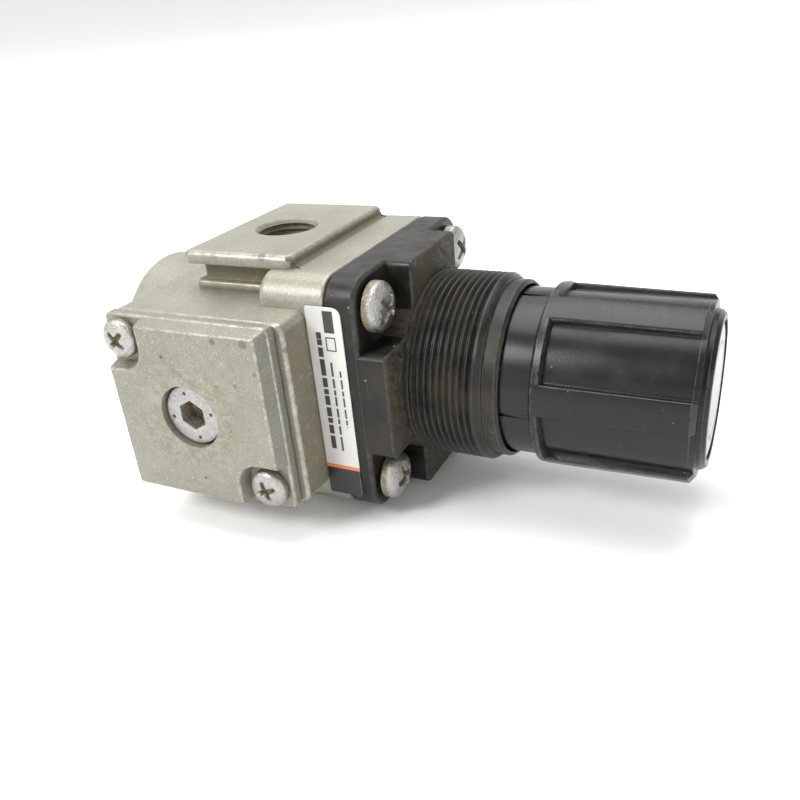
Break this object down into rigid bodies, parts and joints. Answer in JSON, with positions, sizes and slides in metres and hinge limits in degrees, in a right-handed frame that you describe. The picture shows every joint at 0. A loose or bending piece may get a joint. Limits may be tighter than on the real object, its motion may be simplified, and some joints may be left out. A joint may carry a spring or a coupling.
{
  "type": "air pressure regulator",
  "caption": "Air pressure regulator with a square bonnet, a panel thread, a ribbed turning lock knob, two threaded ports and plugged gauge openings.",
  "frame": {"origin": "middle of the bounding box in X and Y, on the lower port face in Z", "axes": "+X along the knob's axis towards its free end, +Z through the two ports, +Y through the gauge openings"},
  "size_m": [0.0918, 0.0558, 0.04],
  "materials": {
    "body": "pale silver-grey paint, worn and stained",
    "bonnet": "satin black plastic with dust",
    "brass": "machined brass",
    "gauge_cover": "pale silver-grey paint, worn edges",
    "gauge_plug": "grey plated steel",
    "knob": "satin black plastic with worn edges",
    "knob_end_disc": "pale disc with dark rings",
    "label": "silver-white printed plate",
    "rubber": "black rubber",
    "screw": "bright zinc plate with brown patina",
    "steel": "plain steel"
  },
  "bodies": {
    "housing": {"adjusting_spring": "steel", "body": "body", "bonnet": "bonnet", "bonnet_screw_1": "screw", "bonnet_screw_2": "screw", "bonnet_screw_3": "screw", "bonnet_screw_4": "screw", "cover_screw_front_1": "screw", "cover_screw_front_2": "screw", "cover_screw_rear_1": "screw", "cover_screw_rear_2": "screw", "gauge_cover_front": "gauge_cover", "gauge_cover_rear": "gauge_cover", "gauge_plug_front": "gauge_plug", "gauge_plug_rear": "gauge_plug", "gauge_seal_front": "rubber", "gauge_seal_rear": "rubber", "label": "label", "thrust_washer": "steel", "valve_guide": "brass", "valve_guide_ring": "rubber", "valve_spring": "steel"},
    "diaphragm_assembly": {"diaphragm": "rubber", "diaphragm_plate": "steel", "relief_seat": "brass"},
    "valve_assembly": {"valve": "brass", "valve_seat_disc": "rubber"},
    "nut": {"adjusting_nut": "brass"},
    "screw": {"adjusting_screw": "steel", "knob_retaining_screw": "screw"},
    "knob": {"knob": "knob", "knob_end_disc": "knob_end_disc"}
  },
  "joints": [
    {"name": "diaphragm_slide", "type": "slide", "parent": "housing", "child": "diaphragm_assembly", "axis": [1, 0, 0], "range_m": [-0.0008, 0], "stiffness_N_per_m": 400},
    {"name": "valve_slide", "type": "slide", "parent": "housing", "child": "valve_assembly", "axis": [1, 0, 0], "range_m": [-0.00081, 0], "deforming": ["valve_spring"]},
    {"name": "knob_turn", "type": "hinge", "parent": "housing", "child": "screw", "pos_m": [0, 0, 0.02], "axis": [1, 0, 0], "range_deg": [-1440, 0]},
    {"name": "nut_slide", "type": "slide", "parent": "housing", "child": "nut", "axis": [1, 0, 0], "range_m": [-0.00401, 0.00001], "deforming": ["adjusting_spring"]},
    {"name": "knob_lock", "type": "slide", "parent": "screw", "child": "knob", "axis": [1, 0, 0], "range_m": [-0.0025, 0]}
  ],
  "couplings": [
    {"joint": "valve_slide", "follows": "diaphragm_slide", "ratio": 1},
    {"joint": "nut_slide", "follows": "knob_turn", "m_per_rad": 0.00015915}
  ]
}
